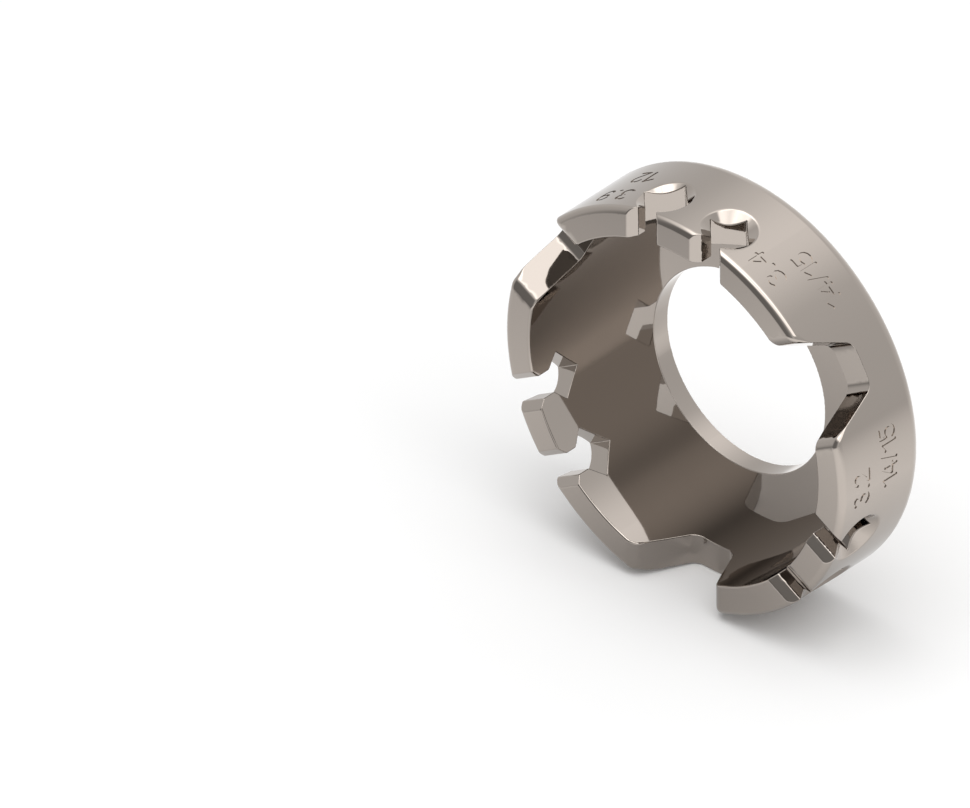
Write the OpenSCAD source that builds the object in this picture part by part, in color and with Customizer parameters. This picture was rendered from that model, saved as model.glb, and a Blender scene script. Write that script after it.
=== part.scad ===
// Round spoke wrench, a single casting.
// It stands on its cylindrical side, as it does in use between two fingers: its axis lies along Y,
// the closed face looks to -Y and the open rim to +Y. The origin is the middle of the bottom of
// its bounding box. Six square nipple seats sit in three pairs round the wall, corner up to the
// rim, and a notch parts each pair from the next.

/* [Body] */
// Outer diameter of the wall and the disc
body_d = 42; // [40:0.5:46]
// Height from the closed face to the rim
body_h = 11.2; // [10.8:0.1:14]
// Thickness of the disc at the closed end
disc_t = 2; // [1.6:0.1:3]
// Thickness of the wall
wall_t = 3.15; // [2.6:0.05:3.6]
// Diameter of the central finger hole
bore_d = 21.2; // [16:0.2:26]
// Rounding between the closed face and the wall
face_round = 1.4; // [0.6:0.1:1.8]
// Rounding of the outer edge of the rim
rim_round = 0.7; // [0.4:0.05:1.2]
// Rounding of the inner edge of the rim
lip_round = 0.25; // [0.1:0.05:0.5]

/* [Nipple seats] */
// Width across the flats of the six seats, in order round the wall from the first of the top pair
seat_sizes = [3.4, 3.9, 3.3, 3.5, 3.7, 3.2];
// Distance between the two seats of a pair
seat_pitch = 7.85; // [7.2:0.05:9]
// Distance from the rim to the middle of a seat
seat_drop = 3.45; // [3.3:0.05:4.2]
// Width of the gap that lets the spoke into a seat
spoke_gap = 2.2; // [1.9:0.05:2.6]
// Diameter of the countersink where it meets the wall
sink_d = 5.8; // [4.6:0.05:6.2]
// Angle between the countersink's flank and the wall's surface, in degrees
sink_lean = 37; // [30:1:50]
// Chamfer on each side of a gap's mouth
mouth_chamfer = 0.8; // [0.3:0.05:1]

/* [Notches] */
// Width of a notch along its floor
notch_floor_w = 4.6; // [3:0.1:6]
// Depth of a notch, from the rim down to its floor
notch_depth = 6; // [4:0.1:7]
// Lean of a notch's flanks, in degrees
notch_lean = 25; // [15:1:32]
// Rounding in the corners of a notch's floor
floor_round = 0.7; // [0.3:0.05:1]
// Rounding where a notch's flanks meet the rim
crest_round = 0.7; // [0.3:0.05:1]

/* [Hidden] */
$fn = 96;
body_r = body_d / 2;
bore_r = bore_d / 2;
inner_r = body_r - wall_t;
pair_step = 120;
seats_per_pair = 2;
seat_z = body_h - seat_drop;
seat_y = seat_pitch / 2;
// Angle between a pair's middle and the mouth of a seat in the wall's outer surface
seat_turn = asin(seat_y / body_r);
notch_z = body_h - notch_depth;
// Cutters start this far inside the wall's outer surface and stand this far outside it and over the rim
reach_in = wall_t + 2;
reach_out = 2;
// A corner's round runs this share of its radius along both of its sides
corner_share = 1 / tan((90 + notch_lean) / 2);
// The rounds of a notch stand this much proud of its straight sides, so that they meet in clean edges
round_proud = 0.01;

// What a convex round of radius r takes off the corner at the origin, whose sheet lies at -X and -Y
module corner_waste(r) {
    difference() {
        translate([-r, -r]) square(r + 1);
        translate([-r, -r]) circle(r);
    }
}

// Half section of the turned body, with the radius along X and the height along Y
module body_section() {
    difference() {
        union() {
            translate([bore_r, 0]) square([body_r - bore_r, disc_t]);
            translate([inner_r, 0]) square([wall_t, body_h]);
        }
        translate([body_r, 0]) mirror([0, 1]) corner_waste(face_round);
        translate([body_r, body_h]) corner_waste(rim_round);
        translate([inner_r, body_h]) mirror([1, 0]) corner_waste(lip_round);
    }
}

// Turned disc and wall, with the axis along Z and the closed face at the bottom
module turned_body() {
    rotate_extrude() body_section();
}

// Stands a drawing with its width along Y and its height along Z, and pushes it through the wall
module through_wall() {
    translate([body_r - reach_in, 0, 0])
        rotate([90, 0, 90]) linear_extrude(reach_in + reach_out) children();
}

// Outline of a seat and its gap: a square on its corner, and a straight gap with a chamfered mouth
module seat_outline(size) {
    gap_x = spoke_gap / 2;
    mouth_x = gap_x + mouth_chamfer;
    union() {
        translate([0, seat_z]) rotate(45) square(size, center = true);
        translate([-gap_x, seat_z]) square([spoke_gap, seat_drop + reach_out]);
        polygon([
            [-gap_x, body_h - mouth_chamfer], [gap_x, body_h - mouth_chamfer], [mouth_x, body_h],
            [mouth_x, body_h + reach_out], [-mouth_x, body_h + reach_out], [-mouth_x, body_h],
        ]);
    }
}

// Shallow countersink square to the wall, which widens on outside it
module countersink() {
    sink_r = sink_d / 2;
    slope = tan(sink_lean);
    translate([body_r - sink_r * slope, 0, seat_z])
        rotate([0, 90, 0]) cylinder(h = sink_r * slope + reach_out, r1 = 0, r2 = sink_r + reach_out / slope);
}

// The two seats of a pair run straight through the wall, parallel to each other
module seat_pair(first_seat) {
    for (i = [0 : seats_per_pair - 1]) {
        side = 2 * i - 1;
        translate([0, side * seat_y, 0]) through_wall() seat_outline(seat_sizes[first_seat + i]);
        rotate(side * seat_turn) countersink();
    }
}

// Half of a notch's outline: its floor, one leaning flank, and the rounds at both ends of the flank
module half_notch_outline() {
    floor_x = notch_floor_w / 2;
    crest_x = floor_x + notch_depth * tan(notch_lean);
    floor_run = floor_round * corner_share;
    crest_run = crest_round * corner_share;
    floor_tip = [floor_x + floor_run * sin(notch_lean), notch_z + floor_run * cos(notch_lean)];
    crest_tip = [crest_x - crest_run * sin(notch_lean), body_h - crest_run * cos(notch_lean)];
    crest_middle = [crest_x + crest_run, body_h - crest_round];
    difference() {
        union() {
            polygon([
                [0, notch_z], [floor_x - floor_run, notch_z], floor_tip, crest_tip, crest_middle,
                [crest_x + crest_run, body_h + reach_out], [0, body_h + reach_out],
            ]);
            translate([floor_x - floor_run, notch_z + floor_round]) circle(floor_round + round_proud);
        }
        translate(crest_middle) circle(crest_round + round_proud);
    }
}

// One notch, cut straight through the wall
module notch_cutter() {
    through_wall() {
        half_notch_outline();
        mirror([1, 0]) half_notch_outline();
    }
}

// The casting with its axis along Z: pairs of seats every third of a turn, notches midway between them
module upright_body() {
    difference() {
        turned_body();
        for (i = [0 : 2]) {
            rotate(i * pair_step) seat_pair(i * seats_per_pair);
            rotate((i + 0.5) * pair_step) notch_cutter();
        }
    }
}

// The casting as it stands: the first pair of seats at the top, a notch at the bottom
module wrench_body() {
    color([0.63, 0.6, 0.57])
        translate([0, -body_h / 2, body_r]) rotate([-90, 0, 0]) rotate(-90) upright_body();
}

wrench_body();
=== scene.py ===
"""Round spoke wrench, dressed over its packed casting, and the plain studio that it stands in.

The casting's shape is one rule: a turned cup with a hole in its disc, three pairs of square
nipple seats and three notches, and every edge a little round from tumbling before it was plated.
The rule is written as a field, in millimetres, that is negative inside the metal. A skin of
triangles is laid on it, made finer wherever it bends, and the numbers are cut into that skin.
"""

import math

import bpy
import numpy as np
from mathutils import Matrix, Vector


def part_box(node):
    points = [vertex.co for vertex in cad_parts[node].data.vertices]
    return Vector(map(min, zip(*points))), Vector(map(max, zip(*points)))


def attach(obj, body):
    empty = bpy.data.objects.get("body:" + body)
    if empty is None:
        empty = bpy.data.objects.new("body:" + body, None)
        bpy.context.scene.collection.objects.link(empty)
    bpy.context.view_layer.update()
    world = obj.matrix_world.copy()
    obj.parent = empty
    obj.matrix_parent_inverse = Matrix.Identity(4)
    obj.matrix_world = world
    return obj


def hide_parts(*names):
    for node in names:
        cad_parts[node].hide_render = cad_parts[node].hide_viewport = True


bl_info = {
    "name": "Round Spoke Wrench",
    "version": (1, 0, 0),
    "blender": (4, 5, 0),
    "location": "3D View > Sidebar > Spoke Wrench",
    "description": "Builds a nickel-plated round spoke wrench with six seats, and its studio",
    "category": "Add Mesh",
}

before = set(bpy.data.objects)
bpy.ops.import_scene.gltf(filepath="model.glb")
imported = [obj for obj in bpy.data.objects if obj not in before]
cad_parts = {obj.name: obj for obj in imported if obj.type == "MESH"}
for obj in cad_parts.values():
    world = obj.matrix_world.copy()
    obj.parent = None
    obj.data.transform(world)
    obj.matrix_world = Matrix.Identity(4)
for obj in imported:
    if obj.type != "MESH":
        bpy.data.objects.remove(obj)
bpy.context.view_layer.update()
CAD_LOW, CAD_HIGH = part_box("wrench_body")
CAD_SIZE = CAD_HIGH - CAD_LOW

MM = 0.001
PAIR_STEP = math.radians(120)
HALF_ROOT = math.sqrt(0.5)

# Lengths in mm that bound the work and leave the shape alone: how far inside the wall a cut
# begins, and how much further in it is worked out; how far from its middle a notch can reach, and
# how near to the closed face a seat; how near to an edge the lines along its rounding are drawn;
# and how far round a stroke the distance to it is measured
CUT_REACH = 2.0
CUT_MARGIN = 0.5
NOTCH_REACH = 8.5
SEAT_FOOT = 3.0
LINE_REACH = 0.4
STROKE_REACH = 0.6

# The photograph's view of the open side, close to a parallel one: the picture's width in pixels,
# its pixels to the mm, the direction back to the camera, the picture's middle in mm, and how far
# off, in metres, the camera stands
IMAGE_WIDTH = 970
PIXELS_PER_MM = 10.785
VIEW_BACK = (-0.5489, 0.6180, 0.5630)
VIEW_MIDDLE = (17.129, 12.586, 17.738)
VIEW_AWAY = 0.4

# Lines of numbers round the wall, as cut: the text, the angles from the top, in degrees towards
# +X, where it starts and ends, and its row, 0 for nipple widths in mm and 1 for spoke gauges
WALL_NUMBERS = [
    ("3.9", 22.1, 32.5, 0), ("12", 22.3, 29.7, 1),
    ("3.4", -31.1, -20.9, 0), ("14/15", -43.6, -27.4, 1),
    ("3.3", 86.0, 96.6, 0), ("13", 83.6, 91.3, 1),
    ("3.5", 142.4, 152.8, 0),
    ("3.7", 207.4, 217.8, 0),
    ("3.2", 263.5, 273.4, 0), ("14/15", 264.6, 281.9, 1),
]
# The range of gauges on the closed face: each figure and its angle from the bottom towards +X
FACE_NUMBERS = [("1", -53.6), ("2", -32.0), ("-", -13.3), ("1", 4.0), ("5", 25.9)]


# ------------------------------------------------------------------ sizes and colours

def colour(code):
    """Linear RGBA of an sRGB hex colour"""
    levels = [int(code[i:i + 2], 16) / 255 for i in (1, 3, 5)]
    return tuple(v / 12.92 if v <= 0.04045 else ((v + 0.055) / 1.055) ** 2.4
                 for v in levels) + (1.0,)


def length(name, description, mm):
    """A length that the user can change, shown in the scene's units"""
    return bpy.props.FloatProperty(
        name=name, description=description, default=mm * MM, min=0.0, precision=5,
        unit="LENGTH", subtype="DISTANCE")


class WrenchSizes(bpy.types.PropertyGroup):
    body_width: length("Width", "Outer width of the round body", CAD_SIZE.z / MM)
    body_height: length("Height", "Height from the closed face to the rim", CAD_SIZE.y / MM)
    disc: length("Disc", "Thickness of the disc at the closed end", 2.0)
    wall: length("Wall", "Thickness of the wall", 3.15)
    bore: length("Finger hole", "Diameter of the finger hole", 21.2)
    face_round: length("Face rounding", "Rounding between the closed face and the wall", 1.4)
    rim_round: length("Rim rounding", "Rounding of the outer edge of the rim", 0.7)
    lip_round: length("Lip rounding", "Rounding of the inner edge of the rim", 0.22)
    edge_round: length("Edge rounding", "Rounding of every other outer edge", 0.08)
    corner_round: length("Corner rounding", "Rounding in the corners of a seat", 0.08)
    seat_widths: bpy.props.FloatVectorProperty(
        name="Seat widths", description="Width of each square seat, in order round the wall",
        size=6, default=[w * MM for w in (3.4, 3.9, 3.3, 3.5, 3.7, 3.2)], precision=5,
        unit="LENGTH", subtype="NONE")
    seat_pitch: length("Seat pitch", "Distance between the two seats of a pair", 7.85)
    seat_drop: length("Seat drop", "Distance from the rim to the middle of a seat", 3.45)
    spoke_gap: length("Spoke gap", "Width of the gap that lets the spoke in", 2.2)
    sink: length("Countersink", "Diameter of the countersink where it meets the wall", 5.8)
    sink_lean: bpy.props.FloatProperty(
        name="Countersink lean", description="Angle between the countersink's flank and the wall",
        default=math.radians(37), unit="ROTATION", subtype="ANGLE")
    mouth: length("Mouth chamfer", "Chamfer on each side of a gap's mouth", 0.8)
    notch_floor: length("Notch floor", "Width of a notch along its floor", 4.6)
    notch_depth: length("Notch depth", "Depth of a notch from the rim", 6.0)
    notch_lean: bpy.props.FloatProperty(
        name="Notch lean", description="Lean of a notch's flanks", default=math.radians(25),
        unit="ROTATION", subtype="ANGLE")
    notch_round: length("Notch rounding", "Rounding of a notch's corners and crests", 0.7)
    skin: length("Skin", "Side of the triangles on the flat parts", 0.6)


class NumberSizes(bpy.types.PropertyGroup):
    wall_height: length("Wall figures", "Height of the figures round the wall", 2.0)
    wall_rows: bpy.props.FloatVectorProperty(
        name="Wall rows", description="Height of the feet of the two rows above the closed face",
        size=2, default=(7.45 * MM, 3.65 * MM), precision=5, unit="LENGTH", subtype="NONE")
    wall_stroke: length("Wall stroke", "Width of a stroke round the wall", 0.28)
    wall_depth: length("Wall depth", "Depth of the strokes round the wall", 0.09)
    face_height: length("Face figures", "Height of the figures on the closed face", 4.9)
    face_radius: length("Face circle", "Radius of the circle through the figures' middles", 16.4)
    face_stroke: length("Face stroke", "Width of a stroke on the closed face", 0.7)
    face_depth: length("Face depth", "Depth of the strokes on the closed face", 0.3)


class NickelFinish(bpy.types.PropertyGroup):
    tint: bpy.props.FloatVectorProperty(
        name="Tint", description="Colour of the polished nickel", size=4, subtype="COLOR",
        min=0.0, max=1.0, default=colour("#a09891"))
    roughness: bpy.props.FloatProperty(
        name="Roughness", description="How much the plate blurs what it mirrors",
        default=0.04, min=0.0, max=1.0, subtype="FACTOR")


class StudioLook(bpy.types.PropertyGroup):
    floor: bpy.props.FloatVectorProperty(
        name="Floor", description="Colour of the paper floor", size=4, subtype="COLOR",
        min=0.0, max=1.0, default=colour("#fdfdfd"))
    softbox_long: length("Softbox length", "Long side of the softbox overhead", 3700.0)
    softbox_wide: length("Softbox width", "Short side of the softbox overhead", 1600.0)
    softbox_rise: length("Softbox height", "Height of the softbox above the floor", 1500.0)
    softbox_level: bpy.props.FloatProperty(
        name="Softbox level", description="Brightness of the softbox as the metal mirrors it",
        default=1.8, min=0.0)
    fill_level: bpy.props.FloatProperty(
        name="Fill level", description="Brightness of the white room as it lights the floor",
        default=0.6, min=0.0)


# ------------------------------------------------------------------ the casting's field

def meet(a, b, radius, note=None):
    """The part inside both a and b, with the edge between them rounded.
    The note is told how far a point is from each of the two lines where the rounding begins."""
    if note:
        note(a + radius, b + radius)
    return (np.minimum(np.maximum(a, b), -radius)
            + np.hypot(np.maximum(a + radius, 0), np.maximum(b + radius, 0)))


def join(a, b, radius, note=None):
    """The part inside a or b, with the corner between them rounded"""
    return -meet(-a, -b, radius, note)


def turned(across, up, angle):
    """Distance outwards and sideways in the direction that lies at the angle from the top"""
    return (up * math.cos(angle) + across * math.sin(angle),
            across * math.cos(angle) - up * math.sin(angle))


def seat_void(side, rise, width, s, noting):
    """A square hole on its corner, with the gap above it that lets the spoke in"""
    square = meet(np.abs(side + rise) * HALF_ROOT - width / 2,
                  np.abs(side - rise) * HALF_ROOT - width / 2, s.corner_round, noting("corner"))
    beside = np.abs(side) - s.spoke_gap / 2
    gap = np.maximum(beside, -rise)
    below_mouth = s.seat_drop - s.mouth - rise
    mouth = np.maximum((beside + below_mouth) * HALF_ROOT, below_mouth)
    void = join(square, gap, s.edge_round, noting("gap"))
    return join(void, mouth, s.edge_round, noting("mouth"))


def notch_void(side, along, s):
    """A notch with leaning flanks, rounded in the corners of its floor"""
    floor = s.body_height - s.notch_depth
    flank = ((np.abs(side) - s.notch_floor / 2) * math.cos(s.notch_lean)
             - (along - floor) * math.sin(s.notch_lean))
    return meet(flank, floor - along, s.notch_round)


def casting_field(points, s, lines=None):
    """Negative inside the casting. Points are in mm: across, along the axis from the closed face,
    and up from the axis. Fills in, where asked, the lines where the roundings begin: each is a
    level that is nought on its line, and no number away from the edge."""
    across, along, up = points.T

    def noting(name, chosen=slice(None)):
        def note(*levels):
            close = (np.abs(levels[0]) < LINE_REACH) & (np.abs(levels[1]) < LINE_REACH)
            for i, level in enumerate(levels):
                whole = lines.setdefault((name, i), np.full(len(points), np.nan))
                whole[chosen] = np.where(close, level, whole[chosen])
        return None if lines is None else note

    reach = np.hypot(across, up)
    body_r = s.body_width / 2
    inner_r = body_r - s.wall
    start = inner_r - CUT_REACH
    rim = along - s.body_height
    for k in range(3):
        out, side = turned(across, up, (k + 0.5) * PAIR_STEP)
        near = np.flatnonzero((out > start - CUT_MARGIN) & (np.abs(side) < NOTCH_REACH))
        void = np.maximum(notch_void(side[near], along[near], s), start - out[near])
        rim[near] = meet(rim[near], -void, s.notch_round)
    # Below the rim its two roundings shrink to that of the other edges, between these depths
    shallow, deep = 0.5, 1.8
    share = np.clip((along - s.body_height + deep) / (deep - shallow), 0, 1)
    share = share * share * (3 - 2 * share)
    rim_round = s.edge_round + (s.rim_round - s.edge_round) * share
    lip_round = s.edge_round + (s.lip_round - s.edge_round) * share
    cup = np.maximum(reach - inner_r, s.disc - along)
    body = meet(meet(reach - body_r, -along, s.face_round), rim, rim_round, noting("rim"))
    body = meet(body, -cup, lip_round, noting("lip"))
    body = meet(body, s.bore / 2 - reach, s.edge_round, noting("bore"))
    seat_turn = math.asin(s.seat_pitch / 2 / body_r)
    for k in range(3):
        for hand in (0, 1):
            sign = 2 * hand - 1
            out, side = turned(across, up, k * PAIR_STEP)
            side = side - sign * s.seat_pitch / 2
            near = np.flatnonzero((out > start - CUT_MARGIN) & (np.abs(side) < s.seat_pitch / 2)
                                  & (along > SEAT_FOOT))
            out, side, rise = out[near], side[near], along[near] - s.body_height + s.seat_drop
            void = seat_void(side, rise, s.seat_widths[2 * k + hand], s,
                             lambda name: noting(name, near))
            sink_out, sink_side = turned(across[near], up[near],
                                         k * PAIR_STEP + sign * seat_turn)
            cone = ((np.hypot(sink_side, rise) - s.sink / 2) * math.sin(s.sink_lean)
                    - (sink_out - body_r) * math.cos(s.sink_lean))
            void = np.maximum(join(void, cone, s.edge_round, noting("sink", near)), start - out)
            body[near] = meet(body[near], -void, s.edge_round, noting("seat", near))
    return body


# ------------------------------------------------------------------ laying a skin on a field

def slopes(field, points):
    """The field at each point, and its slope there"""
    step = 1e-4
    value = field(points)
    found = np.empty_like(points)
    for i in range(3):
        ahead = points.copy()
        ahead[:, i] += step
        found[:, i] = (field(ahead) - value) / step
    return value, found


def settle(field, points, rounds=3):
    """Moves the points on to the surface, along the slope, by no more than a short step a round"""
    least_steep, step = 0.09, 0.2
    for _ in range(rounds):
        value, slope = slopes(field, points)
        steep = np.maximum((slope ** 2).sum(1), least_steep)
        points = points - slope * np.clip(value / steep, -step, step)[:, None]
    return points


def outward(field, points):
    """Directions square to the surface at the points"""
    slope = slopes(field, points)[1]
    return slope / np.maximum(np.linalg.norm(slope, axis=1), 1e-9)[:, None]


def first_skin(field, low, high, step):
    """Triangles close to the field's surface, with one point in each cell of a grid that it cuts"""
    counts = np.ceil((high - low) / step).astype(int) + 1
    ticks = [low[i] + step * np.arange(counts[i]) for i in range(3)]
    grid = np.stack(np.meshgrid(*ticks, indexing="ij"), -1)
    value = field(grid.reshape(-1, 3)).reshape(counts)
    inside = value < 0
    corners = [(i, j, k) for i in (0, 1) for j in (0, 1) for k in (0, 1)]
    held = sum(inside[i:counts[0] - 1 + i, j:counts[1] - 1 + j, k:counts[2] - 1 + k].astype(int)
               for i, j, k in corners)
    cells = np.argwhere((held > 0) & (held < 8))
    number = np.full(held.shape, -1)
    number[tuple(cells.T)] = np.arange(len(cells))
    total, hits = np.zeros((len(cells), 3)), np.zeros(len(cells))
    for first in corners:
        for axis in range(3):
            if first[axis]:
                continue
            start = cells + first
            end = start.copy()
            end[:, axis] += 1
            a, b = value[tuple(start.T)], value[tuple(end.T)]
            cut = (a < 0) != (b < 0)
            share = a[cut] / (a[cut] - b[cut])
            total[cut] += start[cut] + (end[cut] - start[cut]) * share[:, None]
            hits[cut] += 1
    points = low + step * total / hits[:, None]
    quads = []
    for axis, (one, two) in enumerate(((1, 2), (2, 0), (0, 1))):
        near = [slice(None)] * 3
        far = [slice(None)] * 3
        near[axis], far[axis] = slice(0, -1), slice(1, None)
        a, b = inside[tuple(near)], inside[tuple(far)]
        where = np.argwhere(a != b)
        leaving = a[tuple(where.T)]
        ring = []
        for step_one, step_two in ((-1, -1), (0, -1), (0, 0), (-1, 0)):
            cell = where.copy()
            cell[:, one] += step_one
            cell[:, two] += step_two
            ring.append(number[tuple(cell.T)])
        ring = np.stack(ring, 1)
        ring[~leaving] = ring[~leaving][:, ::-1]
        quads.append(ring)
    quads = np.concatenate(quads)
    across_a = np.linalg.norm(points[quads[:, 0]] - points[quads[:, 2]], axis=1)
    across_b = np.linalg.norm(points[quads[:, 1]] - points[quads[:, 3]], axis=1)
    one = quads[across_a <= across_b]
    two = quads[across_a > across_b]
    return points, np.concatenate([one[:, [0, 1, 2]], one[:, [0, 2, 3]],
                                   two[:, [0, 1, 3]], two[:, [1, 2, 3]]])


def sides_of(faces):
    """Each side once, as a pair of points, and for each face the numbers of its three sides"""
    pairs = np.sort(faces[:, [0, 1, 1, 2, 2, 0]].reshape(-1, 2), axis=1)
    span = faces.max() + 1
    codes, which = np.unique(pairs[:, 0] * span + pairs[:, 1], return_inverse=True)
    return np.stack([codes // span, codes % span], 1), which.reshape(-1, 3)


def split_sides(points, faces, chosen, sides, which):
    """Halves the chosen sides, and divides the faces beside them so that no gap opens"""
    middle = np.full(len(sides), -1)
    middle[chosen] = len(points) + np.arange(chosen.sum())
    points = np.concatenate([points, points[sides[chosen]].mean(1)])
    made = middle[which]
    count = (made >= 0).sum(1)
    result = [faces[count == 0]]
    for turn in range(3):
        a, b, c = (faces[:, (turn + i) % 3] for i in range(3))
        ab, bc, ca = (made[:, (turn + i) % 3] for i in range(3))
        one = (count == 1) & (ab >= 0)
        result += [np.stack([a, ab, c], 1)[one], np.stack([ab, b, c], 1)[one]]
        two = (count == 2) & (ca < 0)
        result += [np.stack([ab, b, bc], 1)[two]]
        short = np.zeros(len(faces), bool)
        short[two] = (np.linalg.norm(points[a[two]] - points[bc[two]], axis=1)
                      < np.linalg.norm(points[ab[two]] - points[c[two]], axis=1))
        result += [np.stack([a, ab, bc], 1)[two & short], np.stack([a, bc, c], 1)[two & short],
                   np.stack([a, ab, c], 1)[two & ~short], np.stack([ab, bc, c], 1)[two & ~short]]
    three = count == 3
    a, b, c = faces[three].T
    ab, bc, ca = made[three].T
    result += [np.stack(t, 1) for t in ((a, ab, ca), (ab, b, bc), (ca, bc, c), (ab, bc, ca))]
    return points, np.concatenate(result)


def refine_bends(field, points, faces, bend, shortest, rounds):
    """Halves the sides whose ends face more than bend radians apart, down to the shortest"""
    for _ in range(rounds):
        facing = outward(field, points)
        sides, which = sides_of(faces)
        a, b = sides.T
        span = np.linalg.norm(points[a] - points[b], axis=1)
        apart = np.arccos(np.clip((facing[a] * facing[b]).sum(1), -1, 1))
        chosen = (apart > bend) & (span > shortest)
        if not chosen.any():
            break
        points, faces = split_sides(points, faces, chosen, sides, which)
        points = settle(field, points, 2)
    return points, faces


def follow_line(points, faces, level, near=0.12):
    """Gives the skin points, and so sides, along the line where the level is nought.
    Returns the points, the faces and which points lie on the line."""
    value = level(points)
    sides, _ = sides_of(faces)
    a, b = sides.T
    crossing = (value[a] * value[b]) < 0
    a, b = a[crossing], b[crossing]
    share = value[a] / (value[a] - value[b])
    # A point close to the line slides on to it, and the other sides get a new point there
    best = np.full(len(points), 1.0)
    goal = points.copy()
    for one, other, part in ((a, b, share), (b, a, 1 - share)):
        order = np.argsort(-part)
        one, other, part = one[order], other[order], part[order]
        close = part < near
        one, other, part = one[close], other[close], part[close]
        here = points[one] + (points[other] - points[one]) * part[:, None]
        closer = part < best[one]
        goal[one[closer]], best[one[closer]] = here[closer], part[closer]
    on_line = best < 1
    points = goal
    value[on_line] = 0.0
    sides, which = sides_of(faces)
    a, b = sides.T
    chosen = (value[a] * value[b]) < 0
    share = (value[a] / np.where(chosen, value[a] - value[b], 1))[chosen]
    count = len(points)
    start, end = points[a[chosen]], points[b[chosen]]
    points, faces = split_sides(points, faces, chosen, sides, which)
    points[count:] = start + (end - start) * share[:, None]
    on_line = np.concatenate([on_line, np.ones(len(points) - count, bool)])
    return points, faces, on_line


def engrave(points, faces, facing, inside, depth):
    """Lowers the inside faces by the depth, and joins them to the rest with a straight wall.
    Returns the points, the faces and the direction that each corner of each face looks in."""
    corners = facing[faces]
    sides, which = sides_of(faces)
    kinds = np.zeros((len(sides), 2), bool)
    kinds[which[inside].ravel(), 0] = True
    kinds[which[~inside].ravel(), 1] = True
    shared = kinds.all(1)
    rim = np.unique(sides[shared])
    copy = np.arange(len(points))
    copy[rim] = len(points) + np.arange(len(rim))
    low_faces = copy[faces[inside]]
    moved = np.unique(low_faces)
    points = np.concatenate([points, points[rim]])
    facing = np.concatenate([facing, facing[rim]])
    depth = np.concatenate([depth, depth[rim]])
    points[moved] -= facing[moved] * depth[moved][:, None]
    new_faces = faces.copy()
    new_faces[inside] = low_faces
    walls, looks = [], []
    for turn in range(3):
        edge = which[~inside][:, turn]
        cut = shared[edge]
        a, b = faces[~inside][cut][:, turn], faces[~inside][cut][:, (turn + 1) % 3]
        run = points[b] - points[a]
        look = np.cross(run, facing[a])
        look /= np.maximum(np.linalg.norm(look, axis=1), 1e-12)[:, None]
        walls += [np.stack([b, a, copy[a]], 1), np.stack([b, copy[a], copy[b]], 1)]
        looks += [look, look]
    walls, looks = np.concatenate(walls), np.concatenate(looks)
    return points, np.concatenate([new_faces, walls]), np.concatenate(
        [corners, np.repeat(looks[:, None], 3, 1)])


def even_out(field, points, faces, rounds):
    """Slides the points over the surface towards the middle of their neighbours"""
    for _ in range(rounds):
        sides, _ = sides_of(faces)
        here, there = sides.ravel(), sides[:, ::-1].ravel()
        count = np.bincount(here, minlength=len(points))
        pull = np.stack([np.bincount(here, points[there, i], len(points)) for i in range(3)], 1)
        pull = pull / count[:, None] - points
        facing = outward(field, points)
        pull -= facing * (pull * facing).sum(1)[:, None]
        points = settle(field, points + 0.5 * pull, 2)
    return points


# ------------------------------------------------------------------ the figures

def bow(x, y, wide, high, start, end):
    """Points on an oval round (x, y) from the start angle to the end angle, in degrees"""
    count = max(3, int(abs(end - start) / 15) + 1)
    return [(x + wide * math.cos(math.radians(t)), y + high * math.sin(math.radians(t)))
            for t in np.linspace(start, end, count)]


# Strokes of each figure, one unit high, and its width
FIGURES = {
    "1": (0.42, [[(0.0, 0.72), (0.40, 1.0), (0.40, 0.0)]]),
    "2": (0.62, [bow(0.31, 0.71, 0.29, 0.29, 165, -30) + [(0.0, 0.0), (0.62, 0.0)]]),
    "3": (0.60, [bow(0.29, 0.77, 0.26, 0.23, 155, -90)
                 + bow(0.28, 0.27, 0.31, 0.27, 90, -155)]),
    "4": (0.62, [[(0.46, 0.0), (0.46, 1.0), (0.0, 0.30), (0.62, 0.30)]]),
    "5": (0.60, [[(0.56, 1.0), (0.10, 1.0), (0.06, 0.56)]
                 + bow(0.28, 0.33, 0.31, 0.33, 128, -150)]),
    "7": (0.58, [[(0.0, 1.0), (0.58, 1.0), (0.20, 0.0)]]),
    "9": (0.60, [bow(0.30, 0.71, 0.29, 0.29, 0, 360),
                 [(0.59, 0.71)] + bow(0.29, 0.33, 0.30, 0.33, 0, -150)]),
    ".": (0.12, [[(0.02, 0.03), (0.10, 0.03)]]),
    "/": (0.34, [[(0.0, 0.0), (0.34, 1.0)]]),
    "-": (0.40, [[(0.0, 0.42), (0.40, 0.42)]]),
}


def wall_lines(s, n):
    """Strokes of the wall's numbers on the unrolled wall, in mm: along it, and above the face"""
    body_r = s.body_width / 2
    lines = []
    for text, start, end, row in WALL_NUMBERS:
        widths = [FIGURES[c][0] * n.wall_height for c in text]
        room = body_r * math.radians(end - start)
        space = (room - sum(widths)) / (len(text) - 1)
        x = body_r * math.radians(start)
        for figure, width in zip(text, widths):
            for stroke in FIGURES[figure][1]:
                lines.append([(x + u * n.wall_height, n.wall_rows[row] + v * n.wall_height)
                              for u, v in stroke])
            x += width + space
    return lines


def face_lines(n):
    """Strokes of the face's numbers on a straight strip, in mm: along it, and towards the hole"""
    lines = []
    for figure, angle in FACE_NUMBERS:
        width = FIGURES[figure][0]
        middle = n.face_radius * math.radians(angle)
        for stroke in FIGURES[figure][1]:
            lines.append([(middle + (u - width / 2) * n.face_height, (v - 0.5) * n.face_height)
                          for u, v in stroke])
    return lines


def strip_object(name, lines):
    """A mesh of bare edges in the plane, in metres"""
    points, edges = [], []
    for line in lines:
        edges += [(len(points) + i, len(points) + i + 1) for i in range(len(line) - 1)]
        points += [(x * MM, y * MM, 0.0) for x, y in line]
    mesh = bpy.data.meshes.new(name)
    mesh.from_pydata(points, edges, [])
    obj = bpy.data.objects.new(name, mesh)
    bpy.context.scene.collection.objects.link(obj)
    return obj


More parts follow.
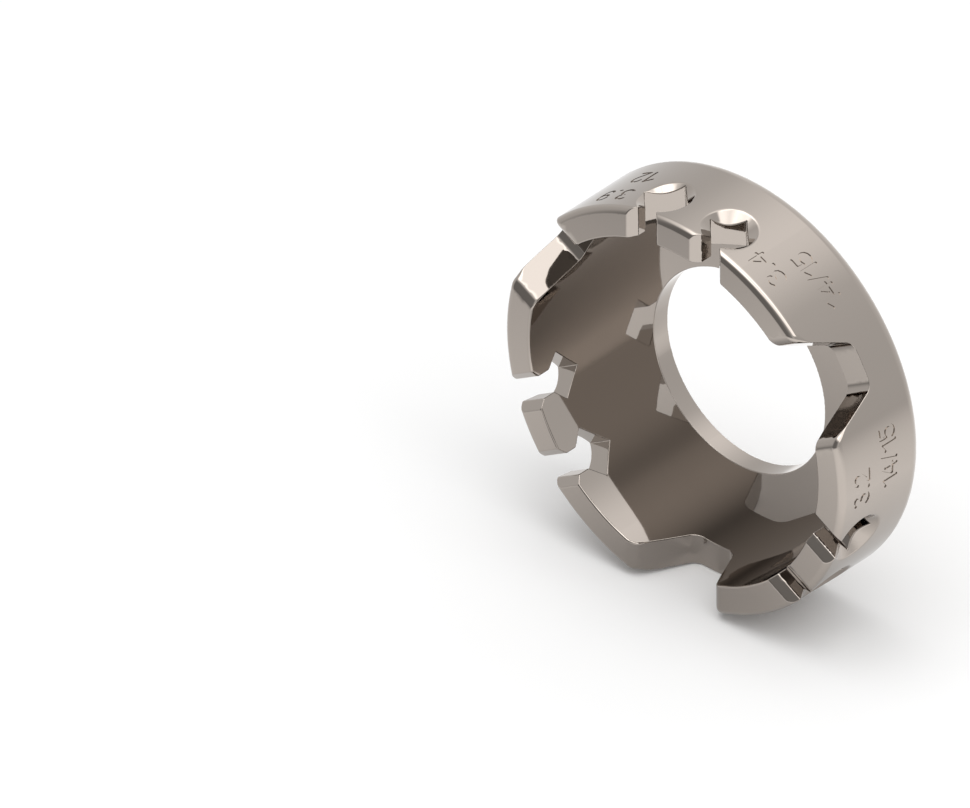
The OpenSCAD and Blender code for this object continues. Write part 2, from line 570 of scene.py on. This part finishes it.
def add_node(tree, kind, inputs=(), **settings):
    """Adds a node, makes its settings, and links or fills its inputs by name or number"""
    made = tree.nodes.new(kind)
    for key, value in settings.items():
        setattr(made, key, value)
    for key, value in dict(inputs).items():
        if isinstance(value, bpy.types.NodeSocket):
            tree.links.new(value, made.inputs[key])
        else:
            made.inputs[key].default_value = value
    return made


def bending_tree():
    """Bends a straight strip of strokes round the wrench's axis, on its wall or flat on its face"""
    tree = bpy.data.node_groups.new("Bend strokes round the wrench", "GeometryNodeTree")
    face = tree.interface
    face.new_socket("Geometry", in_out="INPUT", socket_type="NodeSocketGeometry")
    for name in ("Radius", "Axis height", "Face place", "Step"):
        face.new_socket(name, in_out="INPUT", socket_type="NodeSocketFloat")
    face.new_socket("On the face", in_out="INPUT", socket_type="NodeSocketBool")
    face.new_socket("Material", in_out="INPUT", socket_type="NodeSocketMaterial")
    face.new_socket("Geometry", in_out="OUTPUT", socket_type="NodeSocketGeometry")
    given = add_node(tree, "NodeGroupInput").outputs

    def maths(operation, a, b=0.0):
        return add_node(tree, "ShaderNodeMath", {0: a, 1: b}, operation=operation).outputs[0]

    def choose(flat, on_wall):
        return add_node(tree, "GeometryNodeSwitch", {
            "Switch": given["On the face"], "False": on_wall, "True": flat,
        }, input_type="FLOAT").outputs[0]

    curve = add_node(tree, "GeometryNodeMeshToCurve", {"Mesh": given["Geometry"]})
    finer = add_node(tree, "GeometryNodeResampleCurve", {
        "Curve": curve.outputs[0], "Length": given["Step"]}, mode="LENGTH")
    place = add_node(tree, "GeometryNodeInputPosition").outputs[0]
    along, height = add_node(tree, "ShaderNodeSeparateXYZ", {0: place}).outputs[:2]
    angle = maths("DIVIDE", along, given["Radius"])
    reach = choose(maths("SUBTRACT", given["Radius"], height), given["Radius"])
    sine = maths("MULTIPLY", reach, maths("SINE", angle))
    cosine = maths("MULTIPLY", reach, maths("COSINE", angle))
    rise = maths("ADD", given["Axis height"], choose(maths("MULTIPLY", cosine, -1.0), cosine))
    depth = maths("ADD", given["Face place"], choose(0.0, height))
    bent = add_node(tree, "ShaderNodeCombineXYZ", {0: sine, 1: depth, 2: rise})
    moved = add_node(tree, "GeometryNodeSetPosition", {
        "Geometry": finer.outputs[0], "Position": bent.outputs[0]})
    edges = add_node(tree, "GeometryNodeCurveToMesh", {"Curve": moved.outputs[0]})
    real = add_node(tree, "GeometryNodeRealizeInstances", {"Geometry": edges.outputs[0]})
    painted = add_node(tree, "GeometryNodeSetMaterial", {
        "Geometry": real.outputs[0], "Material": given["Material"]})
    add_node(tree, "NodeGroupOutput", {0: painted.outputs[0]})
    return tree


def bent_strokes(name, lines, tree, values):
    """The strokes bent round the wrench, each as its two ends in mm: across, along and up"""
    obj = strip_object(name, lines)
    modifier = obj.modifiers.new("Bend", "NODES")
    modifier.node_group = tree
    for item in tree.interface.items_tree:
        if item.in_out == "INPUT" and item.name in values:
            modifier[item.identifier] = values[item.name]
    bpy.context.view_layer.update()
    depsgraph = bpy.context.evaluated_depsgraph_get()
    mesh = bpy.data.meshes.new_from_object(obj.evaluated_get(depsgraph))
    obj.modifiers.remove(modifier)
    bpy.data.objects.remove(obj)
    points = np.empty(len(mesh.vertices) * 3)
    mesh.vertices.foreach_get("co", points)
    edges = np.empty(len(mesh.edges) * 2, int)
    mesh.edges.foreach_get("vertices", edges)
    bpy.data.meshes.remove(mesh)
    points = points.reshape(-1, 3) / MM
    points -= (0.0, values["Face place"] / MM, values["Axis height"] / MM)
    return points[edges.reshape(-1, 2)]


def nearest_stroke(points, strokes):
    """Distance from each point to the nearest stroke, or 1 mm where none is close.
    The strokes and points are taken some at a time, to spare memory."""
    strokes_at_once, points_at_once = 12, 20000
    found = np.full(len(points), 1.0)
    for group in np.array_split(strokes, max(1, len(strokes) // strokes_at_once)):
        low, high = group.min((0, 1)) - STROKE_REACH, group.max((0, 1)) + STROKE_REACH
        close = np.arange(len(points))
        for i in (0, 2, 1):
            close = close[(points[close, i] > low[i]) & (points[close, i] < high[i])]
        for part in np.array_split(close, len(close) // points_at_once + 1):
            here, start, end = points[part][:, None], group[None, :, 0], group[None, :, 1]
            run = end - start
            share = ((here - start) * run).sum(2) / np.maximum((run ** 2).sum(2), 1e-12)
            gap = np.linalg.norm(here - start - run * np.clip(share, 0, 1)[..., None], axis=2)
            found[part] = np.minimum(found[part], gap.min(1))
    return found


# ------------------------------------------------------------------ finish

def nickel_material(look):
    """Polished nickel plate over a tumbled casting.
    It mirrors the room in a warm grey, a little soft; the casting under it bends the reflections
    gently every few millimetres, and handling leaves them a little softer in patches."""
    material = bpy.data.materials.new("Polished nickel plate")
    material.use_nodes = True
    tree = material.node_tree
    tree.nodes.clear()
    place = add_node(tree, "ShaderNodeTexCoord").outputs["Object"]
    # Slow swell of the cast wall, about 4 mm from crest to crest and a few micrometres high
    swell = add_node(tree, "ShaderNodeTexNoise", {
        "Vector": place, "Scale": 0.25 / MM, "Detail": 1.0, "Roughness": 0.4})
    # Patches of handling, about 6 mm wide
    patches = add_node(tree, "ShaderNodeTexNoise", {
        "Vector": place, "Scale": 0.16 / MM, "Detail": 3.0, "Roughness": 0.6})
    rough = add_node(tree, "ShaderNodeMapRange", {
        "Value": patches.outputs[0], "From Min": 0.3, "From Max": 0.7,
        "To Min": look.roughness * 0.85, "To Max": look.roughness * 1.2})
    bump = add_node(tree, "ShaderNodeBump", {
        "Height": swell.outputs[0], "Strength": 1.0, "Distance": 0.004 * MM})
    shader = add_node(tree, "ShaderNodeBsdfPrincipled", {
        "Base Color": tuple(look.tint), "Metallic": 1.0, "Roughness": rough.outputs[0],
        "Normal": bump.outputs[0]})
    add_node(tree, "ShaderNodeOutputMaterial", {"Surface": shader.outputs[0]})
    return material


# How bright the room's walls and its ceiling look in the metal, by the angle round the room, in
# degrees from +Y towards +X. A dark screen stands before the open side. The far paper glows in
# the walls' tones too, as a painted glow.
WALL_TONES = [(-180, 1.14), (-150, 1.05), (-120, 0.9), (-66, 0.85), (-48, 1.05), (-26, 0.48),
              (-8, 0.32), (32, 0.3), (64, 0.88), (100, 1.0), (131, 0.95), (145, 1.25)]
CEILING_TONES = [(-180, 2.1), (-100, 2.1), (-60, 0.68), (-20, 2.1)]
# Elevations, in degrees, between which the walls turn into the ceiling
CEILING_RISE = (38, 74)


def tone_round(tree, way, stops):
    """How bright the room looks in the metal in the direction way, from the angles' tones"""
    way = add_node(tree, "ShaderNodeSeparateXYZ", {0: way}).outputs
    turn = add_node(tree, "ShaderNodeMath", {0: way[0], 1: way[1]}, operation="ARCTAN2")
    turn = add_node(tree, "ShaderNodeMapRange", {
        "Value": turn.outputs[0], "From Min": -math.pi, "From Max": math.pi})
    tones = add_node(tree, "ShaderNodeValToRGB", {0: turn.outputs[0]})
    ramp = tones.color_ramp
    ramp.interpolation = "EASE"
    while len(ramp.elements) < len(stops):
        ramp.elements.new(0.5)
    for element, (angle, level) in zip(ramp.elements, stops):
        element.position = (angle + 180) / 360
        element.color = (level, level, level, 1.0)
    return tones.outputs[0]


def seen_straight(tree):
    """What is known of the ray, and 1 where it comes from the camera or through glass"""
    ray = add_node(tree, "ShaderNodeLightPath").outputs
    return ray, add_node(tree, "ShaderNodeMath", {
        0: ray["Is Camera Ray"], 1: ray["Is Transmission Ray"]}, operation="MAXIMUM").outputs[0]


def floor_material(look):
    """White paper sweep: matt, and pale in the mirror of the metal too. In that mirror it has a
    painted shade right under the wrench and a painted light, brighter than white, further out.
    Further out still, the metal sees it take on the tone of the walls as a painted glow."""
    material = bpy.data.materials.new("White paper")
    material.use_nodes = True
    tree = material.node_tree
    tree.nodes.clear()
    ray, straight = seen_straight(tree)
    # What the paper gives back to the rest of the room
    matt_tone = 0.79
    tone = add_node(tree, "ShaderNodeMapRange", {
        "Value": straight, "To Min": matt_tone, "To Max": 1.0})
    place = add_node(tree, "ShaderNodeTexCoord").outputs["Object"]
    # In the metal's mirror the paper gets a painted shade right under the wrench, and a painted
    # light, brighter than white, from this far out; distances in mm
    shade_start, shade_end, painted_shade_tone, painted_light_tone = 12, 42, 0.8, 1.45
    shade = add_node(tree, "ShaderNodeVectorMath", {0: place}, operation="LENGTH")
    shade = add_node(tree, "ShaderNodeMapRange", {
        "Value": shade.outputs["Value"], "From Min": shade_start * MM,
        "From Max": shade_end * MM, "To Min": painted_shade_tone, "To Max": painted_light_tone})
    tone = add_node(tree, "ShaderNodeMapRange", {
        "Value": ray["Is Glossy Ray"], "To Min": tone.outputs[0], "To Max": shade.outputs[0]})
    paper = add_node(tree, "ShaderNodeVectorMath", {
        0: tuple(look.floor)[:3], "Scale": tone.outputs[0]}, operation="SCALE")
    near = add_node(tree, "ShaderNodeBsdfDiffuse", {"Color": paper.outputs[0], "Roughness": 0.0})
    # A painted glow: far out, the paper as the metal mirrors it glows in the walls' tones, dark
    # where the screen stands
    far = add_node(tree, "ShaderNodeEmission", {"Strength": tone_round(tree, place, WALL_TONES)})
    # In the metal's mirror the paper is lit paper round this place, and between these distances
    # from it turns into the painted glow; all in mm
    patch_x, patch_y, patch_start, patch_end = -45, 30, 20, 138
    distance = add_node(tree, "ShaderNodeVectorMath", {
        0: place, 1: (patch_x * MM, patch_y * MM, 0.0)}, operation="DISTANCE")
    fade = add_node(tree, "ShaderNodeMapRange", {
        "Value": distance.outputs["Value"], "From Min": patch_start * MM,
        "From Max": patch_end * MM}, interpolation_type="SMOOTHSTEP")
    fade = add_node(tree, "ShaderNodeMath", {
        0: fade.outputs[0], 1: ray["Is Glossy Ray"]}, operation="MULTIPLY")
    shader = add_node(tree, "ShaderNodeMixShader", {
        0: fade.outputs[0], 1: near.outputs[0], 2: far.outputs[0]})
    add_node(tree, "ShaderNodeOutputMaterial", {"Surface": shader.outputs[0]})
    return material


def white_room(look):
    """White walls and a white ceiling, with dark screens among them for the metal to mirror.
    Behind the object, and as it lights the floor, the room is plain white."""
    world = bpy.data.worlds.new("White room")
    world.use_nodes = True
    tree = world.node_tree
    tree.nodes.clear()
    direction = add_node(tree, "ShaderNodeTexCoord").outputs["Generated"]
    rise = add_node(tree, "ShaderNodeSeparateXYZ", {0: direction}).outputs[2]
    start, end = (math.sin(math.radians(angle)) for angle in CEILING_RISE)
    above = add_node(tree, "ShaderNodeMapRange", {
        "Value": rise, "From Min": start, "From Max": end}, interpolation_type="SMOOTHSTEP")
    mirrored = add_node(tree, "ShaderNodeMapRange", {
        "Value": above.outputs[0], "To Min": tone_round(tree, direction, WALL_TONES),
        "To Max": tone_round(tree, direction, CEILING_TONES)})
    ray, straight = seen_straight(tree)
    level = add_node(tree, "ShaderNodeMapRange", {
        "Value": straight, "To Min": look.fill_level, "To Max": 1.0})
    level = add_node(tree, "ShaderNodeMapRange", {
        "Value": ray["Is Glossy Ray"], "To Min": level.outputs[0], "To Max": mirrored.outputs[0]})
    room = add_node(tree, "ShaderNodeBackground", {
        "Color": (1.0, 1.0, 1.0, 1.0), "Strength": level.outputs[0]})
    add_node(tree, "ShaderNodeOutputWorld", {"Surface": room.outputs[0]})
    return world


def soft_edges(lamp):
    """Lets a softbox fade in a band along the edges of its cloth, whose sides run from 0 to 1"""
    end_band, side_band, middle = 0.12, 0.22, 0.5
    lamp.use_nodes = True
    tree = lamp.node_tree
    tree.nodes.clear()
    cloth = add_node(tree, "ShaderNodeSeparateXYZ", {
        0: add_node(tree, "ShaderNodeNewGeometry").outputs["Parametric"]}).outputs
    level = 1.0
    for along, band in ((cloth[0], end_band), (cloth[1], side_band)):
        off = add_node(tree, "ShaderNodeMath", {0: along, 1: middle}, operation="SUBTRACT")
        off = add_node(tree, "ShaderNodeMath", {0: off.outputs[0]}, operation="ABSOLUTE")
        fade = add_node(tree, "ShaderNodeMapRange", {
            "Value": off.outputs[0], "From Min": middle, "From Max": middle - band},
            interpolation_type="SMOOTHSTEP")
        level = add_node(tree, "ShaderNodeMath", {
            0: fade.outputs[0], 1: level}, operation="MULTIPLY").outputs[0]
    glow = add_node(tree, "ShaderNodeEmission", {"Strength": level})
    add_node(tree, "ShaderNodeOutputLight", {"Surface": glow.outputs[0]})


# ------------------------------------------------------------------ the casting, step by step

def casting_skin(plain, s):
    """An even skin on the plain casting, fine where it bends"""
    body_r = s.body_width / 2
    margin = 1.3 * s.skin
    low = np.array([-body_r, 0.0, -body_r]) - margin
    high = np.array([body_r, s.body_height, body_r]) + margin
    points, faces = first_skin(plain, low, high, s.skin)
    points = settle(plain, points, rounds=6)
    points = even_out(plain, points, faces, rounds=3)
    # A bend of 22 degrees from end to end of a side still looks smooth
    points, faces = refine_bends(plain, points, faces, bend=math.radians(22), shortest=0.15,
                                 rounds=4)
    return even_out(plain, points, faces, rounds=2), faces


def figure_field(s, n, tree, nickel):
    """A field that is negative inside the outlines of the figures, and 1 away from them"""
    body_r = s.body_width / 2
    # Figures lie this close to the wall's or the face's surface, and their bows have such steps
    skim, step = 0.3, 0.3
    shared = {"Axis height": body_r * MM, "Face place": -s.body_height / 2 * MM,
              "Step": step * MM, "Material": nickel}
    wall = bent_strokes("wall_strokes", wall_lines(s, n), tree,
                        {**shared, "Radius": body_r * MM, "On the face": False})
    face = bent_strokes("face_strokes", face_lines(n), tree,
                        {**shared, "Radius": n.face_radius * MM, "On the face": True})
    wall_low = min(n.wall_rows) - STROKE_REACH
    wall_high = max(n.wall_rows) + n.wall_height + STROKE_REACH

    def figures(at):
        found = np.full(len(at), 1.0)
        across, along, up = at.T
        reach = np.hypot(across, up)
        near = np.flatnonzero((reach > body_r - skim)
                              & (along > wall_low) & (along < wall_high))
        found[near] = nearest_stroke(at[near], wall) - n.wall_stroke / 2
        near = np.flatnonzero((along < skim) & (up < 0)
                              & (np.abs(reach - n.face_radius) < n.face_height / 2 + 1))
        found[near] = np.minimum(found[near], nearest_stroke(at[near], face) - n.face_stroke / 2)
        return found

    return figures


def refine_figures(plain, figures, points, faces):
    """Halves the sides that a figure's outline crosses or nearly does, down to these lengths"""
    margin, share = 0.05, 0.45
    for longest in (0.28, 0.16):
        sides, which = sides_of(faces)
        span = np.linalg.norm(points[sides[:, 0]] - points[sides[:, 1]], axis=1)
        close = np.abs(figures(points[sides].mean(1))) < margin + share * span
        points, faces = split_sides(points, faces, close & (span > longest), sides, which)
        points = settle(plain, points, 2)
    return points, faces


def follow_roundings(plain, points, faces, s):
    """Lays sides along the lines where the roundings begin, which keeps reflections straight"""
    body_r = s.body_width / 2
    # Only the strip of wall that is this wide, in mm, inside a rounding gets the line on the wall
    strip = 0.3
    for edge, at_face, turn_in in ((s.face_round, 0.0, 1), (s.rim_round, s.body_height, -1)):
        def on_face(at):
            return np.maximum(np.hypot(at[:, 0], at[:, 2]) - body_r + edge,
                              (at[:, 1] - at_face) * turn_in - edge / 2)

        def on_wall(at):
            return np.maximum((at[:, 1] - at_face) * turn_in - edge,
                              body_r - edge - strip - np.hypot(at[:, 0], at[:, 2]))

        for level in (on_face, on_wall):
            points, faces, _ = follow_line(points, faces, level, near=0.2)
    points = settle(plain, points, 2)
    lines = {}
    casting_field(points, s, lines)
    for name in lines:
        def level(at):
            found = {}
            casting_field(at, s, found)
            return found[name]
        points, faces, _ = follow_line(points, faces, level)
    return settle(plain, points, 3), faces


def follow_cup_corner(plain, points, faces, s):
    """Moves the points where the skin crosses the cup's corner right into it"""
    inner_r = s.body_width / 2 - s.wall
    points, faces, on_line = follow_line(points, faces, lambda at: (
        np.hypot(at[:, 0], at[:, 2]) - inner_r + at[:, 1] - s.disc))
    on_line &= (points[:, 1] > s.disc / 2) & (points[:, 1] < s.disc * 2)
    points[on_line] *= (inner_r / np.hypot(points[on_line, 0], points[on_line, 2]))[:, None]
    points[on_line, 1] = s.disc
    return settle(plain, points, 2), faces


def sharpen_cup_corner(plain, points, faces, corners, s):
    """Gives each face in the cup's corner its own direction there, so that it stays sharp"""
    inner_r = s.body_width / 2 - s.wall
    near, inwards = 0.02, 0.1
    in_corner = np.flatnonzero(np.abs(np.hypot(points[:, 0], points[:, 2]) - inner_r)
                               + np.abs(points[:, 1] - s.disc) < near)
    touching = np.flatnonzero(np.isin(faces, in_corner).any(1))
    middle = points[faces[touching]].mean(1)
    for i in range(3):
        spot = (1 - inwards) * points[faces[touching, i]] + inwards * middle
        look = outward(plain, spot)
        sharp = np.isin(faces[touching, i], in_corner)
        corners[touching[sharp], i] = look[sharp]


# ------------------------------------------------------------------ operators

def in_mm(group):
    """The group's values in a plain holder, its lengths in mm"""
    holder = type("Values", (), {})()
    for name in group.bl_rna.properties.keys():
        if name in ("rna_type", "name"):
            continue
        value = getattr(group, name)
        unit = group.bl_rna.properties[name].unit
        if hasattr(value, "__len__"):
            value = [v / MM for v in value] if unit == "LENGTH" else list(value)
        elif unit == "LENGTH":
            value = value / MM
        setattr(holder, name, value)
    return holder


class OBJECT_OT_spoke_wrench_body(bpy.types.Operator):
    """Make the nickel-plated casting with its seats, notches and numbers"""
    bl_idname = "object.spoke_wrench_body"
    bl_label = "Wrench Body"

    def execute(self, context):
        s, n = in_mm(context.scene.wrench_sizes), in_mm(context.scene.number_sizes)
        nickel = nickel_material(context.scene.nickel_finish)

        def plain(at):
            return casting_field(at, s)

        points, faces = casting_skin(plain, s)
        figures = figure_field(s, n, bending_tree(), nickel)
        points, faces = refine_figures(plain, figures, points, faces)
        points, faces = follow_roundings(plain, points, faces, s)
        points, faces = follow_cup_corner(plain, points, faces, s)
        points, faces, _ = follow_line(points, faces, figures)
        points = settle(plain, points, 2)
        inside = figures(points[faces].mean(1)) < 0
        depth = np.where(points[:, 1] < s.face_round, n.face_depth, n.wall_depth)
        points, faces, corners = engrave(points, faces, outward(plain, points), inside, depth)
        sharpen_cup_corner(plain, points, faces, corners, s)

        mesh = bpy.data.meshes.new("wrench_casting")
        placed = (points + (0.0, -s.body_height / 2, s.body_width / 2)) * MM
        mesh.from_pydata(placed, [], faces)
        mesh.shade_smooth()
        mesh.normals_split_custom_set(corners.reshape(-1, 3))
        mesh.materials.append(nickel)
        casting = bpy.data.objects.new("wrench_casting", mesh)
        context.scene.collection.objects.link(casting)
        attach(casting, "root")
        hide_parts("wrench_body")
        return {"FINISHED"}


class OBJECT_OT_spoke_wrench_studio(bpy.types.Operator):
    """Make the paper floor, the softbox, the white room and the camera"""
    bl_idname = "object.spoke_wrench_studio"
    bl_label = "Studio"

    def execute(self, context):
        scene, look = context.scene, context.scene.studio_look
        mesh = bpy.data.meshes.new("paper_floor")
        # Metres from the middle of the floor to its sides
        half = 3.0
        mesh.from_pydata([(-half, -half, 0), (half, -half, 0), (half, half, 0), (-half, half, 0)],
                         [], [(0, 1, 2, 3)])
        mesh.materials.append(floor_material(look))
        floor = bpy.data.objects.new("paper_floor", mesh)
        scene.collection.objects.link(floor)

        lamp = bpy.data.lights.new("softbox", "AREA")
        lamp.shape = "RECTANGLE"
        lamp.size, lamp.size_y = look.softbox_long, look.softbox_wide
        lamp.energy = look.softbox_level * math.pi * look.softbox_long * look.softbox_wide
        softbox = bpy.data.objects.new("softbox", lamp)
        # It hangs towards the camera and a little to its right, at these shares of its height
        share_x, share_y = -0.63, 0.16
        softbox.location = Vector((share_x, share_y, 1.0)) * look.softbox_rise
        soft_edges(lamp)
        scene.collection.objects.link(softbox)
        scene.world = white_room(look)

        camera = bpy.data.cameras.new("camera")
        camera.type = "ORTHO"
        camera.ortho_scale = IMAGE_WIDTH / PIXELS_PER_MM * MM
        back = Vector(VIEW_BACK).normalized()
        viewer = bpy.data.objects.new("camera", camera)
        viewer.rotation_mode = "QUATERNION"
        viewer.rotation_quaternion = back.to_track_quat("Z", "Y")
        viewer.location = Vector(VIEW_MIDDLE) * MM + back * VIEW_AWAY
        camera.clip_start, camera.clip_end = 0.01, 20.0
        scene.collection.objects.link(viewer)
        scene.camera = viewer
        scene.view_settings.view_transform = "Standard"
        return {"FINISHED"}


class VIEW3D_PT_spoke_wrench(bpy.types.Panel):
    bl_label = "Spoke Wrench"
    bl_space_type = "VIEW_3D"
    bl_region_type = "UI"
    bl_category = "Spoke Wrench"

    def draw(self, context):
        layout, scene = self.layout, context.scene
        for title, group in (("Sizes", scene.wrench_sizes), ("Numbers", scene.number_sizes),
                             ("Nickel", scene.nickel_finish), ("Studio", scene.studio_look)):
            box = layout.box()
            box.label(text=title)
            for name in group.bl_rna.properties.keys():
                if name not in ("rna_type", "name"):
                    box.prop(group, name)
        layout.operator(OBJECT_OT_spoke_wrench_body.bl_idname)
        layout.operator(OBJECT_OT_spoke_wrench_studio.bl_idname)


GROUPS = (("wrench_sizes", WrenchSizes), ("number_sizes", NumberSizes),
          ("nickel_finish", NickelFinish), ("studio_look", StudioLook))
CLASSES = (OBJECT_OT_spoke_wrench_body, OBJECT_OT_spoke_wrench_studio, VIEW3D_PT_spoke_wrench)


def register():
    for name, group in GROUPS:
        bpy.utils.register_class(group)
        setattr(bpy.types.Scene, name, bpy.props.PointerProperty(type=group))
    for item in CLASSES:
        bpy.utils.register_class(item)


def unregister():
    for item in reversed(CLASSES):
        bpy.utils.unregister_class(item)
    for name, group in reversed(GROUPS):
        delattr(bpy.types.Scene, name)
        bpy.utils.unregister_class(group)


def main():
    register()
    bpy.ops.object.spoke_wrench_studio()
    bpy.ops.object.spoke_wrench_body()


if __name__ == "__main__":
    main()
